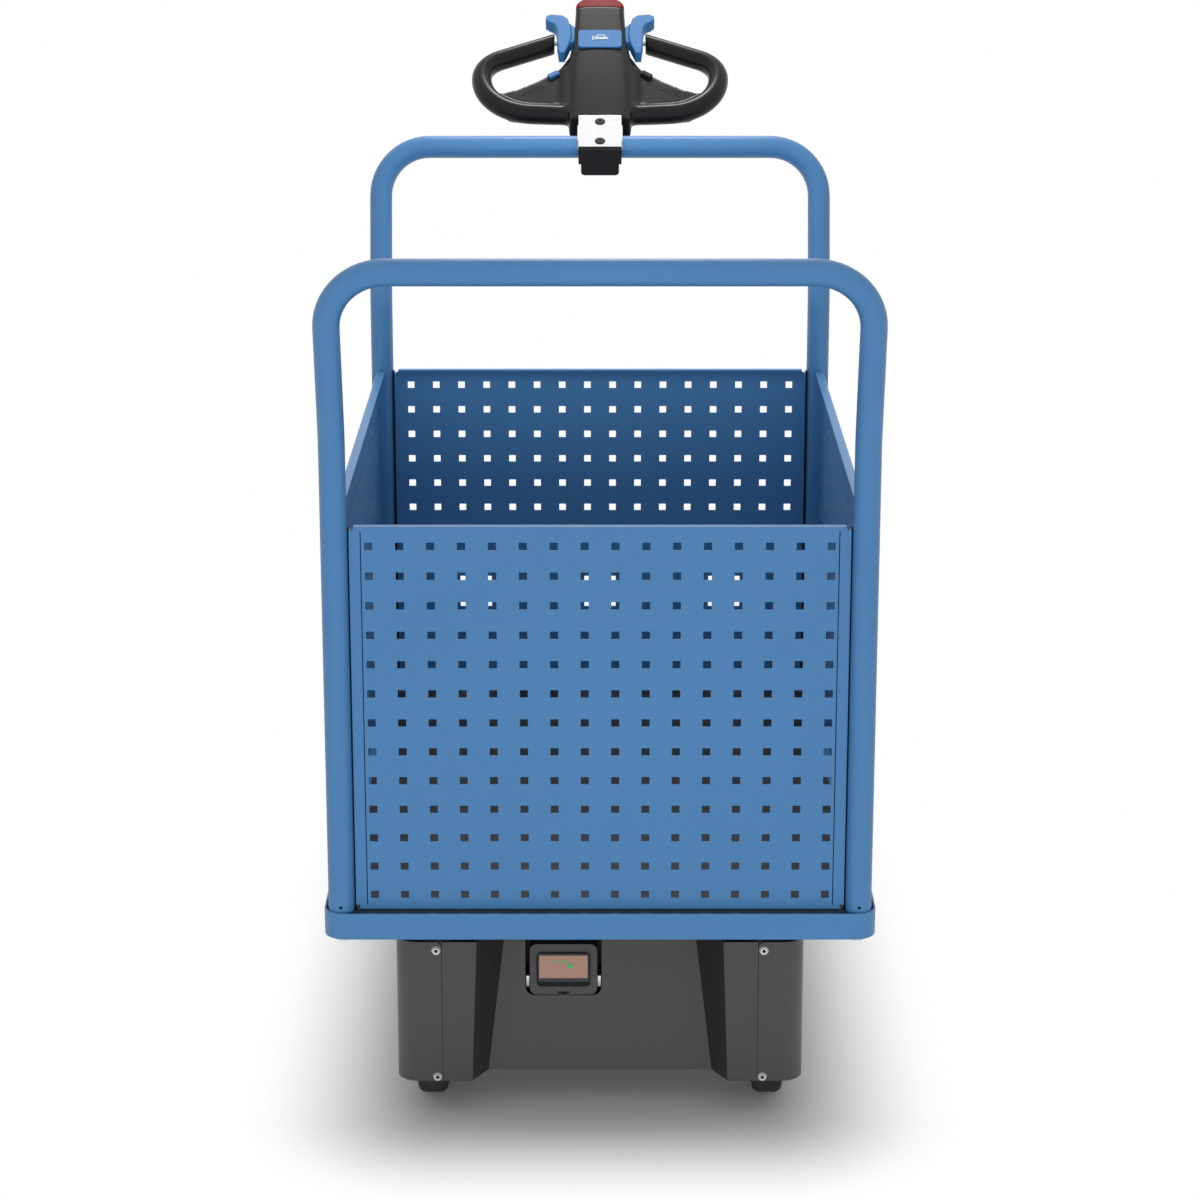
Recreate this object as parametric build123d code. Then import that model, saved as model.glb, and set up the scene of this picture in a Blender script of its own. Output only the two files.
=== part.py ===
# Electric platform truck: four perforated steel walls on a platform with a tube handle at each end,
# a driven pair of wheels in a moulded housing at one end, two swivel casters at the other, and a
# control head on the operator's handle.
# X is across the truck, +Y runs from the drive end to the operator's end, Z is up from the floor.
# Everything is drawn about the platform's centre and moved at the end, so that the origin lies on
# the floor under the middle of the whole length.  All lengths are in millimetres.
from math import cos, radians, sin, sqrt, tan
import os

from build123d import *

# Platform
PLATFORM_L = 1000.0
PLATFORM_W = 700.0
PLATFORM_TOP = 295.0
RIM_H = 35.0
RIM_WALL = 3.0
RIM_CORNER_R = 28.0
LEDGE_W = 28.0
GUSSET = 44.0
DECK_T = 15.0
DECK_DROP = 1.0
DECK_EDGE_GAP = 0.5
DECK_TUBE_GAP = 3.0

# Box rails under the deck
RAIL_BOTTOM = 241.0
RAIL_W = 40.0
RAIL_WALL = 3.0

# Tube handles
TUBE_R = 16.5
TUBE_WALL = 2.5
TUBE_INSET = 22.3
KINK_ABOVE_TOP = 609.0
BAR_ABOVE_TOP = 825.0
LEAN_DEG = 15.0
KINK_R = 110.0
BEND_R = 73.0

# Perforated walls
WALL_H = 500.0
SHEET_T = 2.0
FOLD_D = 10.0
HOLE = 10.0
PITCH = 38.0
TOP_ROW = 24.8
EDGE_MIN = 22.0
BOTTOM_MIN = 18.0
WALL_GAP = 2.0
CORNER_RELIEF = 5.0
EDGE_STRIP = 15.0
EDGE_STEP = 0.8
EDGE_GROOVE_W = 1.2
EDGE_GROOVE_D = 1.5
SIDE_FACE_OUT = 7.3
END_FACE_OUT = 1.0

# Moulded drive housing
HOUSING_INSET = 40.0
HOUSING_SIDE_INSET = 88.0
HOUSING_BOTTOM = 49.0
HOUSING_WALL = 4.0
SEAM_FROM_TRAY = 13.0
SEAM_GAP = 0.5
COVER_CORNER_R = 28.0
COVER_TOP_R = 7.0
COLUMN_IN_TRAY = 25.0
COLUMN_TAPER = 7.0
RECESS_LOW = 36.5
RECESS_HIGH = 67.0
RECESS_SLOPE = 0.534
TRAY_BEHIND_COVER = 10.0
FLOOR_GAP = 6.0

# Battery in the recessed panel
BATTERY_OFFSET = 0.38864
BAY_SHARE = 0.81
BAY_H = 90.0
BAY_BELOW_TOP = 5.4
BAY_D = 60.0
BAY_WALL = 3.0
PACK_SLOT = 5.5
PACK_EDGE_GAP = 0.6
PACK_TOP_GAP = 22.0
PACK_PROUD = 0.6
PACK_CORNER_R = 9.0
BAY_CORNER_R = 12.0
PACK_FRAME_SIDE = 9.0
PACK_FRAME_H = 43.0
PACK_FRAME_LOW = 13.0
PACK_FRAME_T = 4.0
DISPLAY_SIDE = 3.5
DISPLAY_H = 30.0
DISPLAY_LOW = 10.0
DISPLAY_T = 1.0
LATCH_T = 5.0
LATCH_H = 16.0
LATCH_LIFT = 1.0

# Drive wheels
DRIVE_R = 80.0
DRIVE_W = 38.0
DRIVE_RIM_R = 60.0
DRIVE_AXLE_R = 10.0
DRIVE_COVER_GAP = 20.0
DRIVE_FACE_GAP = 8.0
DRIVE_BACK_GAP = 12.0
AXLE_FLANGE_R = 32.0
AXLE_FLANGE_T = 5.0
AXLE_FLANGE_GAP = 5.0
AXLE_NUT_R = 16.0
AXLE_NUT_T = 7.0
AXLE_NUT_GAP = 3.0

# Swivel casters
CASTER_SIDE_INSET = 125.0
CASTER_END_INSET = 170.0
CASTER_TRAIL = 50.0
CASTER_R = 100.0
CASTER_TYRE_W = 40.0
CASTER_RIM_R = 76.0
CASTER_HUB_W = 48.0
CASTER_AXLE_R = 6.0
PLATE_T = 6.0
PLATE_L = 135.0
PLATE_W = 110.0
KINGPIN_R = 10.0
FORK_T = 5.0
FORK_GAP = 54.0
CROWN_T = 6.0
CROWN_Z = 212.0
SWIVEL_GAP = 0.5

# Running fits
BEARING_FIT = 0.05
BOLT_FIT = 0.2

# Control head, drawn flat and tilted about the operator's bar
HEAD_TILT = 33.0
CLAMP_W = 64.5
CLAMP_LOW = -33.0
CLAMP_HIGH = 40.0
CLAMP_TOP = 24.0
CLAMP_SPLIT = -6.0
CLAMP_FOOT_W = 57.0
CLAMP_FOOT_DEPTH = 22.0
CLAMP_BEVEL = 2.0
BRACKET_T = 4.0
BRACKET_W = 64.5
EAR_T = 1.5
EAR_DROP = 16.0
SPINE_HIGH = 304.0
SPINE_HALF_LOW = 47.5
SPINE_HALF_HIGH = 37.5
SPINE_TOP = 24.0
SPINE_CROWN = 3.0
SPINE_CORNER_R = 6.0
SPINE_BELLY_LOW = -20.0
SPINE_BELLY_HIGH = -10.0
GRIP_R = 15.5
GRIP_END_X = 70.0
WEB_TOP = 9.0
WEB_BOTTOM = -13.0
FLARE_TOP = -0.5
LEVER_LOW = 0.5
LEVER_TOP = 20.5
SHAFT_R = 5.0
SHAFT_V = 234.0
SHAFT_W = 7.0
HORN_W = 67.0
HORN_H = 41.0
HORN_V = 222.0
HORN_T = 2.5
BELLY_EDGE = 5.0
BELLY_BULGE = 20.0

# Places that follow from these sizes
DECK_TOP = PLATFORM_TOP - DECK_DROP
DECK_BOTTOM = DECK_TOP - DECK_T
RIM_BOTTOM = PLATFORM_TOP - RIM_H
LEDGE_TOP = RIM_BOTTOM + RIM_WALL
TUBE_X = PLATFORM_W / 2 - TUBE_INSET
TUBE_Y = PLATFORM_L / 2 - TUBE_INSET
KINK_Z = PLATFORM_TOP + KINK_ABOVE_TOP
BAR_Z = PLATFORM_TOP + BAR_ABOVE_TOP
BAR_Y = TUBE_Y + (BAR_Z - KINK_Z) * tan(radians(LEAN_DEG))
HOUSING_FACE_Y = HOUSING_INSET - PLATFORM_L / 2
HOUSING_HALF_W = PLATFORM_W / 2 - HOUSING_SIDE_INSET
DRIVE_X = HOUSING_HALF_W - HOUSING_WALL - DRIVE_COVER_GAP - DRIVE_W / 2
DRIVE_Y = HOUSING_FACE_Y + HOUSING_WALL + DRIVE_FACE_GAP + DRIVE_R
HOUSING_BACK_Y = DRIVE_Y + DRIVE_R + DRIVE_BACK_GAP + HOUSING_WALL
TRAY_HALF_W = DRIVE_X - DRIVE_W / 2 - AXLE_FLANGE_GAP - AXLE_FLANGE_T
TRAY_BACK_Y = HOUSING_BACK_Y + TRAY_BEHIND_COVER
SEAM_X = TRAY_HALF_W + SEAM_FROM_TRAY
COLUMN_X_LOW = TRAY_HALF_W - COLUMN_IN_TRAY
COLUMN_X_HIGH = COLUMN_X_LOW - COLUMN_TAPER
PANEL_HALF_W = COLUMN_X_HIGH - RECESS_SLOPE * RECESS_HIGH
BATTERY_X = -BATTERY_OFFSET * PANEL_HALF_W
BAY_W = BAY_SHARE * PANEL_HALF_W
PACK_W = BAY_W - 2 * PACK_SLOT
PACK_FRAME_W = PACK_W - 2 * PACK_FRAME_SIDE
DISPLAY_W = PACK_FRAME_W - 2 * DISPLAY_SIDE
CASTER_X = PLATFORM_W / 2 - CASTER_SIDE_INSET
CASTER_Y = PLATFORM_L / 2 - CASTER_END_INSET

SIDES = (("left", -1), ("right", 1))

nodes = {}


def block(x0, x1, y0, y1, z0, z1):
    """A box between two corners."""
    return Pos((x0 + x1) / 2, (y0 + y1) / 2, (z0 + z1) / 2) * Box(x1 - x0, y1 - y0, z1 - z0)


def rod(axis, radius, start, end, a, b):
    """A round bar along X or Z from start to end, at the two other coordinates a and b."""
    length = end - start
    middle = (start + end) / 2
    if axis == "x":
        return Pos(middle, a, b) * Rot(0, 90, 0) * Cylinder(radius, length)
    return Pos(a, b, middle) * Cylinder(radius, length)


def turned(profile, x, y, z):
    """A body turned about an axis parallel to X, from (distance along X, radius) points."""
    outline = Polyline(*[(along, radius) for along, radius in profile], close=True)
    return Pos(x, y, z) * revolve(make_face(outline), Axis.X)


def one_solid(shape):
    """The shape's only solid."""
    return shape.solids()[0]


# Platform rim: an angle frame with rounded corners and a gusset in each corner
inner_w = PLATFORM_W - 2 * RIM_WALL
inner_l = PLATFORM_L - 2 * RIM_WALL
inner_r = RIM_CORNER_R - RIM_WALL
inside = RectangleRounded(inner_w, inner_l, inner_r)
wall = RectangleRounded(PLATFORM_W, PLATFORM_L, RIM_CORNER_R) - inside
ledge = inside - Rectangle(inner_w - 2 * LEDGE_W, inner_l - 2 * LEDGE_W)
corner_pads = [
    Pos(sx * (inner_w - GUSSET) / 2, sy * (inner_l - GUSSET) / 2) * Rectangle(GUSSET, GUSSET)
    for sx in (-1, 1) for sy in (-1, 1)
]
gussets = inside & (corner_pads[0] + corner_pads[1:])
rim = extrude(wall, RIM_H) + extrude(ledge + gussets, RIM_WALL)
nodes["platform_rim"] = one_solid(Pos(0, 0, RIM_BOTTOM) * rim)

# Deck board, notched round the four tube feet
deck_w = inner_w - 2 * DECK_EDGE_GAP
deck_l = inner_l - 2 * DECK_EDGE_GAP
deck = RectangleRounded(deck_w, deck_l, inner_r - DECK_EDGE_GAP)
for sx in (-1, 1):
    for sy in (-1, 1):
        notch = Pos(sx * TUBE_X, sy * TUBE_Y) * Circle(TUBE_R + DECK_TUBE_GAP)
        notch += Pos(sx * (TUBE_X + 20), sy * (TUBE_Y + 20)) * Rectangle(40, 40)
        deck -= notch
nodes["deck_board"] = one_solid(Pos(0, 0, DECK_BOTTOM) * extrude(deck, DECK_T))

# Box rails across the underside: one pair over the drive housing, one over the casters, one between
rail_h = DECK_BOTTOM - RAIL_BOTTOM
rail_len = inner_w - 2 * LEDGE_W
rail_section = Rectangle(RAIL_W, rail_h) - Rectangle(RAIL_W - 2 * RAIL_WALL, rail_h - 2 * RAIL_WALL)
rail = Plane.YZ * extrude(rail_section, rail_len / 2, both=True)
RAILS_Y = (
    HOUSING_FACE_Y + RAIL_W * 0.75, HOUSING_BACK_Y - RAIL_W * 0.7, 0.0,
    CASTER_Y - PLATE_L / 3, CASTER_Y + PLATE_L / 3,
)
rail_z = (RAIL_BOTTOM + DECK_BOTTOM) / 2
nodes["cross_rails"] = Compound([one_solid(Pos(0, y, rail_z) * rail) for y in RAILS_Y])

# Tube handles, one at each end, leaning outwards above the kink
HANDLES = (("handle_drive_end", -1), ("handle_operator_end", 1))
for name, end in HANDLES:
    path = FilletPolyline(
        (-TUBE_X, end * TUBE_Y, LEDGE_TOP),
        (-TUBE_X, end * TUBE_Y, KINK_Z),
        (-TUBE_X, end * BAR_Y, BAR_Z),
        (TUBE_X, end * BAR_Y, BAR_Z),
        (TUBE_X, end * TUBE_Y, KINK_Z),
        (TUBE_X, end * TUBE_Y, LEDGE_TOP),
        radius=[KINK_R, BEND_R, BEND_R, KINK_R],
    )
    foot = Pos(-TUBE_X, end * TUBE_Y, LEDGE_TOP)
    ring = foot * (Circle(TUBE_R) - Circle(TUBE_R - TUBE_WALL))
    nodes[name] = one_solid(sweep(ring, path=path))


def wall_panel(width, edge_strips):
    """A folded sheet standing in its local XY plane, its outer face at z = 0, folds to -z."""
    half_w = width / 2
    half_h = WALL_H / 2
    cut = CORNER_RELIEF
    corners = []
    for sx, sy in ((-1, -1), (1, -1), (1, 1), (-1, 1)):
        tall = (sx * half_w, sy * (half_h - cut))
        notch = (sx * (half_w - cut), sy * (half_h - cut))
        wide = (sx * (half_w - cut), sy * half_h)
        corners += [tall, notch, wide] if sx * sy > 0 else [wide, notch, tall]
    outer = Wire.make_polygon([Vector(x, y, 0) for x, y in corners], close=True)
    columns = int((width - 2 * EDGE_MIN) / PITCH) + 1
    rows = int((WALL_H - TOP_ROW - BOTTOM_MIN) / PITCH) + 1
    holes = []
    for i in range(columns):
        for j in range(rows):
            x = (i - (columns - 1) / 2) * PITCH
            y = half_h - TOP_ROW - j * PITCH
            h = HOLE / 2
            square = ((x - h, y - h), (x + h, y - h), (x + h, y + h), (x - h, y + h))
            holes.append(Wire.make_polygon([Vector(px, py, 0) for px, py in square], close=True))
    sheet = extrude(Face(outer, holes), amount=SHEET_T, dir=(0, 0, -1))
    folds = []
    for s in (-1, 1):
        level = sorted((s * (half_h - SHEET_T), s * half_h))
        folds.append(block(cut - half_w, half_w - cut, level[0], level[1], -SHEET_T - FOLD_D, -SHEET_T))
        side = sorted((s * (half_w - SHEET_T), s * half_w))
        folds.append(block(side[0], side[1], cut - half_h, half_h - cut, -SHEET_T - FOLD_D, -SHEET_T))
    panel = sheet + folds
    if edge_strips:
        for s in (-1, 1):
            strip = sorted((s * (half_w - EDGE_STRIP), s * (half_w + 1)))
            panel -= block(strip[0], strip[1], cut - half_h, half_h - cut, -EDGE_STEP, 1)
            inner = s * (half_w - EDGE_STRIP)
            groove = sorted((inner, inner + s * EDGE_GROOVE_W))
            panel -= block(groove[0], groove[1], cut - half_h, half_h - cut, -EDGE_GROOVE_D, 1)
    return one_solid(panel)


# Perforated walls between the tubes
wall_mid_z = DECK_TOP + WALL_H / 2
end_wall = wall_panel(2 * (TUBE_X - TUBE_R - WALL_GAP), True)
side_wall = wall_panel(2 * (TUBE_Y - TUBE_R - WALL_GAP), False)
WALLS = (
    ("wall_drive_end", end_wall, (0, -TUBE_Y - END_FACE_OUT), 0),
    ("wall_operator_end", end_wall, (0, TUBE_Y + END_FACE_OUT), 180),
    ("wall_right", side_wall, (TUBE_X + SIDE_FACE_OUT, 0), 90),
    ("wall_left", side_wall, (-TUBE_X - SIDE_FACE_OUT, 0), -90),
)
for name, panel, (x, y), turn in WALLS:
    nodes[name] = Pos(x, y, wall_mid_z) * Rot(0, 0, turn) * Rot(90, 0, 0) * panel


def housing_outline(column_x, recess, z):
    """The moulded front in plan: column, slanted wall, recessed panel, slanted wall, column."""
    t = HOUSING_WALL
    face = HOUSING_FACE_Y
    edge = SEAM_X - SEAM_GAP / 2
    run = t * sqrt(1 + RECESS_SLOPE ** 2)
    back_x = column_x - RECESS_SLOPE * recess
    inner_face_x = column_x + run - RECESS_SLOPE * t
    inner_back_x = column_x + run - RECESS_SLOPE * (recess + t)
    outer = [(edge, face), (column_x, face), (back_x, face + recess)]
    inner = [(edge, face + t), (inner_face_x, face + t), (inner_back_x, face + recess + t)]
    points = [(-x, y) for x, y in outer] + outer[::-1] + inner + [(-x, y) for x, y in inner[::-1]]
    return Pos(0, 0, z) * make_face(Polyline(*points, close=True))


# Moulded front of the drive housing, with the battery opening in its leaning middle panel
front = loft(
    [
        housing_outline(COLUMN_X_LOW, RECESS_LOW, HOUSING_BOTTOM),
        housing_outline(COLUMN_X_HIGH, RECESS_HIGH, RAIL_BOTTOM),
    ],
    ruled=True,
)
housing_h = RAIL_BOTTOM - HOUSING_BOTTOM
lean = (RECESS_HIGH - RECESS_LOW) / housing_h
slope = sqrt(1 + lean ** 2)
panel_plane = Plane(
    origin=(BATTERY_X, HOUSING_FACE_Y + RECESS_LOW, HOUSING_BOTTOM),
    x_dir=(1, 0, 0),
    z_dir=(0, -1 / slope, lean / slope),
)
bay_high = housing_h * slope - BAY_BELOW_TOP
bay_low = bay_high - BAY_H
half_bay = BAY_W / 2
opening = block(-half_bay, half_bay, bay_low, bay_high, -5 * HOUSING_WALL, HOUSING_WALL)
opening = fillet(opening.edges().filter_by(Axis.Z).group_by(Axis.Y)[0], BAY_CORNER_R)
nodes["housing_front"] = one_solid(front - panel_plane * opening)

# Battery bay behind the opening, the pack in it, its display and the bail handle's two chrome ends
bay_front = -HOUSING_WALL / slope
bay_back = bay_front - BAY_D
bay = block(
    -half_bay - BAY_WALL, half_bay + BAY_WALL, bay_low - BAY_WALL, bay_high,
    bay_back - BAY_WALL, bay_front,
)
bay -= block(-half_bay, half_bay, bay_low, bay_high + 1, bay_back, bay_front + 1)
nodes["battery_bay"] = one_solid(panel_plane * bay)

half_pack = PACK_W / 2
pack_low = bay_low + PACK_EDGE_GAP
pack = block(-half_pack, half_pack, pack_low, bay_high - PACK_TOP_GAP, bay_back, PACK_PROUD)
pack = fillet(pack.edges().filter_by(Axis.Z), PACK_CORNER_R)
frame_mid = pack_low + PACK_FRAME_LOW + PACK_FRAME_H / 2
frame = RectangleRounded(PACK_FRAME_W, PACK_FRAME_H, PACK_CORNER_R)
pack += Pos(0, frame_mid, PACK_PROUD) * extrude(frame, PACK_FRAME_T)
nodes["battery_pack"] = one_solid(panel_plane * pack)

display_mid = pack_low + PACK_FRAME_LOW + DISPLAY_LOW + DISPLAY_H / 2
display = extrude(Rectangle(DISPLAY_W, DISPLAY_H), DISPLAY_T)
nodes["battery_display"] = one_solid(panel_plane * Pos(0, display_mid, PACK_PROUD + PACK_FRAME_T) * display)

latches = []
latch_low = pack_low + PACK_CORNER_R + LATCH_LIFT
for _, s in SIDES:
    x0, x1 = sorted((s * half_pack, s * (half_pack + LATCH_T)))
    latches.append(panel_plane * one_solid(block(x0, x1, latch_low, latch_low + LATCH_H, bay_back / 2, PACK_PROUD)))
nodes["battery_latches"] = Compound(latches)

# Tray behind the moulded front: floor, two side plates and a back plate
t = HOUSING_WALL
side_front = HOUSING_FACE_Y + t
floor_front = HOUSING_FACE_Y + RECESS_LOW + t + FLOOR_GAP
tray = block(-TRAY_HALF_W, TRAY_HALF_W, floor_front, TRAY_BACK_Y, HOUSING_BOTTOM, HOUSING_BOTTOM + t)
tray += block(-TRAY_HALF_W, TRAY_HALF_W, TRAY_BACK_Y - t, TRAY_BACK_Y, HOUSING_BOTTOM, RAIL_BOTTOM)
for _, s in SIDES:
    x0, x1 = sorted((s * (TRAY_HALF_W - t), s * TRAY_HALF_W))
    tray += block(x0, x1, side_front, TRAY_BACK_Y, HOUSING_BOTTOM, RAIL_BOTTOM)
nodes["housing_tray"] = one_solid(tray)

# Wheel covers: rounded shells closed on top and open below, with a seam beside the moulded front


def cover_plan(inset, start_x):
    """The cover in plan on the right side, drawn in by the inset, from the inner edge start_x."""
    x1 = HOUSING_HALF_W - inset
    y0 = HOUSING_FACE_Y + inset
    y1 = HOUSING_BACK_Y - inset
    plan = Pos((start_x + x1) / 2, (y0 + y1) / 2) * Rectangle(x1 - start_x, y1 - y0)
    return fillet(plan.vertices().group_by(Axis.X)[-1], COVER_CORNER_R - inset)


for side, s in SIDES:
    cover = extrude(cover_plan(0, TRAY_HALF_W), housing_h)
    cover -= extrude(cover_plan(t, TRAY_HALF_W - 1), housing_h - t)
    seam_x = SEAM_X + SEAM_GAP / 2
    cover -= block(
        TRAY_HALF_W - 1, seam_x, HOUSING_FACE_Y - 1, HOUSING_FACE_Y + t + SEAM_GAP, -1, housing_h + 1
    )
    corner = block(
        seam_x, seam_x + COVER_TOP_R, HOUSING_FACE_Y - 1, HOUSING_FACE_Y + t,
        housing_h - COVER_TOP_R, housing_h + 1,
    )
    round_bar = Pos(seam_x + COVER_TOP_R, HOUSING_FACE_Y, housing_h - COVER_TOP_R) * Rot(90, 0, 0)
    cover -= corner - round_bar * Cylinder(COVER_TOP_R, 4 * t)
    cover = Pos(0, 0, HOUSING_BOTTOM) * cover
    nodes["wheel_cover_" + side] = one_solid(cover if s > 0 else mirror(cover, Plane.YZ))

# Drive wheels: a stub axle on the tray's side plate, a motor hub turning on it and its tyre
half_w = DRIVE_W / 2
for side, s in SIDES:
    nut_x = DRIVE_X + half_w + AXLE_NUT_GAP
    axle = rod("x", AXLE_FLANGE_R, TRAY_HALF_W, TRAY_HALF_W + AXLE_FLANGE_T, DRIVE_Y, DRIVE_R)
    axle += rod("x", DRIVE_AXLE_R, TRAY_HALF_W, nut_x, DRIVE_Y, DRIVE_R)
    axle += rod("x", AXLE_NUT_R, nut_x, nut_x + AXLE_NUT_T, DRIVE_Y, DRIVE_R)
    bore = DRIVE_AXLE_R + BEARING_FIT
    hub = turned(
        (
            (-half_w, bore), (-half_w, 30), (-half_w + 4, 34), (-half_w + 4, DRIVE_RIM_R - 6),
            (-half_w, DRIVE_RIM_R - 2), (-half_w, DRIVE_RIM_R), (half_w, DRIVE_RIM_R),
            (half_w, DRIVE_RIM_R - 2), (half_w - 4, DRIVE_RIM_R - 6), (half_w - 4, 30),
            (half_w, 26), (half_w, bore),
        ),
        DRIVE_X, DRIVE_Y, DRIVE_R,
    )
    tyre = turned(
        (
            (-half_w, DRIVE_RIM_R), (-half_w, DRIVE_R - 6), (-half_w + 3, DRIVE_R - 2),
            (-half_w + 8, DRIVE_R), (half_w - 8, DRIVE_R), (half_w - 3, DRIVE_R - 2),
            (half_w, DRIVE_R - 6), (half_w, DRIVE_RIM_R),
        ),
        DRIVE_X, DRIVE_Y, DRIVE_R,
    )
    for name, piece in (("drive_axle_", axle), ("drive_hub_", hub), ("drive_tyre_", tyre)):
        nodes[name + side] = one_solid(piece if s > 0 else mirror(piece, Plane.YZ))

# Swivel casters: a plate with a kingpin, a fork trailing on it, a wheel on a bolt, a brake pedal
plate_low = RAIL_BOTTOM - PLATE_T
leg = FORK_GAP / 2
hub_half = CASTER_HUB_W / 2
tyre_half = CASTER_TYRE_W / 2
for side, s in SIDES:
    x = s * CASTER_X
    wheel_y = CASTER_Y - CASTER_TRAIL
    plate = Pos(x, CASTER_Y, plate_low + PLATE_T / 2) * Box(PLATE_W, PLATE_L, PLATE_T)
    plate = fillet(plate.edges().filter_by(Axis.Z), 10)
    plate += rod("z", KINGPIN_R, CROWN_Z - 6, plate_low, x, CASTER_Y)
    plate += rod("z", 15, CROWN_Z - 7, CROWN_Z - SWIVEL_GAP, x, CASTER_Y)
    nodes["caster_plate_" + side] = one_solid(plate)

    arm = Sketch() + [
        Pos(wheel_y, CASTER_R) * Circle(22),
        Pos(CASTER_Y - 5, CROWN_Z + CROWN_T - 10) * Rectangle(72, 20),
    ]
    arm = make_hull(arm.edges())
    arm -= Pos(wheel_y, CASTER_R) * Circle(CASTER_AXLE_R + BOLT_FIT)
    sheet = extrude(Plane.YZ * arm, FORK_T)
    fork = Pos(x, CASTER_Y - 5, CROWN_Z + CROWN_T / 2) * Box(FORK_GAP + 2 * FORK_T, 72, CROWN_T)
    fork += Pos(x + leg, 0, 0) * sheet
    fork += Pos(x - leg - FORK_T, 0, 0) * sheet
    fork += rod("z", 30, CROWN_Z, plate_low - SWIVEL_GAP, x, CASTER_Y)
    fork -= rod("z", KINGPIN_R + BEARING_FIT, CROWN_Z - 1, plate_low, x, CASTER_Y)
    nodes["caster_fork_" + side] = one_solid(fork)

    bolt = rod("x", CASTER_AXLE_R, x - leg - FORK_T - 9, x + leg + FORK_T + 9, wheel_y, CASTER_R)
    for end in (-1, 1):
        a, b = sorted((x + end * (leg + FORK_T), x + end * (leg + FORK_T + 7)))
        bolt += rod("x", 11, a, b, wheel_y, CASTER_R)
    nodes["caster_bolt_" + side] = one_solid(bolt)

    bore = CASTER_AXLE_R + BEARING_FIT
    rim_in = CASTER_RIM_R - 12
    rim = turned(
        (
            (-hub_half, bore), (-hub_half, 19), (-6, 24), (-6, rim_in), (-tyre_half + 2, rim_in + 4),
            (-tyre_half + 2, CASTER_RIM_R), (tyre_half - 2, CASTER_RIM_R), (tyre_half - 2, rim_in + 4),
            (6, rim_in), (6, 24), (hub_half, 19), (hub_half, bore),
        ),
        x, wheel_y, CASTER_R,
    )
    nodes["caster_rim_" + side] = one_solid(rim)
    tyre = turned(
        (
            (-tyre_half + 2, CASTER_RIM_R), (-tyre_half, CASTER_RIM_R + 5), (-tyre_half, CASTER_R - 9),
            (-tyre_half + 4, CASTER_R - 3), (-tyre_half + 11, CASTER_R), (tyre_half - 11, CASTER_R),
            (tyre_half - 4, CASTER_R - 3), (tyre_half, CASTER_R - 9), (tyre_half, CASTER_RIM_R + 5),
            (tyre_half - 2, CASTER_RIM_R),
        ),
        x, wheel_y, CASTER_R,
    )
    nodes["caster_tyre_" + side] = one_solid(tyre)

    heel = CASTER_Y - 41
    pedal = Polyline(
        (heel, CROWN_Z), (heel, CROWN_Z + 5), (heel - 40, CROWN_Z + 5), (heel - 98, CROWN_Z - 16),
        (heel - 98, CROWN_Z - 21), (heel - 40, CROWN_Z), close=True,
    )
    pedal = extrude(Plane.YZ * make_face(pedal), 18, both=True)
    nodes["caster_brake_" + side] = one_solid(Pos(x, 0, 0) * pedal)

# Control head: clamp and bracket on the operator's bar
tilt = radians(HEAD_TILT)
head = Plane(origin=(0, BAR_Y, BAR_Z), x_dir=(1, 0, 0), z_dir=(0, -sin(tilt), cos(tilt)))
bar_hole = rod("x", TUBE_R, -60, 60, 0, 0)
half = CLAMP_W / 2
clamp = block(-half, half, CLAMP_LOW, CLAMP_HIGH, CLAMP_SPLIT, CLAMP_TOP)
clamp = chamfer(clamp.edges().group_by(Axis.Y)[0].group_by(Axis.Z)[-1], CLAMP_BEVEL)
nodes["clamp_block"] = one_solid(head * (clamp - bar_hole))
half = CLAMP_FOOT_W / 2
clamp_foot = block(-half, half, CLAMP_LOW, CLAMP_HIGH, CLAMP_SPLIT - CLAMP_FOOT_DEPTH, CLAMP_SPLIT)
clamp_foot = fillet(clamp_foot.edges().group_by(Axis.Z)[0].filter_by(Axis.Y), 3 * CLAMP_BEVEL)
nodes["clamp_foot"] = one_solid(head * (clamp_foot - bar_hole))
half = BRACKET_W / 2
bracket = block(-half, half, CLAMP_LOW + CLAMP_BEVEL, CLAMP_HIGH, CLAMP_TOP, CLAMP_TOP + BRACKET_T)
for _, s in SIDES:
    x0, x1 = sorted((s * half, s * (half + EAR_T)))
    bracket += block(x0, x1, -TUBE_R, TUBE_R, CLAMP_TOP - EAR_DROP, CLAMP_TOP + BRACKET_T)
nodes["head_bracket"] = one_solid(head * (bracket - bar_hole))

# Control head: tapering spine, with the red belly button at its end and the horn button on top


def spine_section(v, half_width, belly):
    """A rounded section across the spine, crowned on top, at the distance v from the bar."""
    shoulder = SPINE_TOP - SPINE_CROWN
    section = ThreePointArc((-half_width, shoulder), (0, SPINE_TOP), (half_width, shoulder))
    section += Polyline(
        (half_width, shoulder), (half_width, belly), (-half_width, belly), (-half_width, shoulder)
    )
    plane = Plane(origin=(0, v, 0), x_dir=(1, 0, 0), z_dir=(0, -1, 0))
    section = make_face(section)
    return plane * fillet(section.vertices(), SPINE_CORNER_R)


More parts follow.
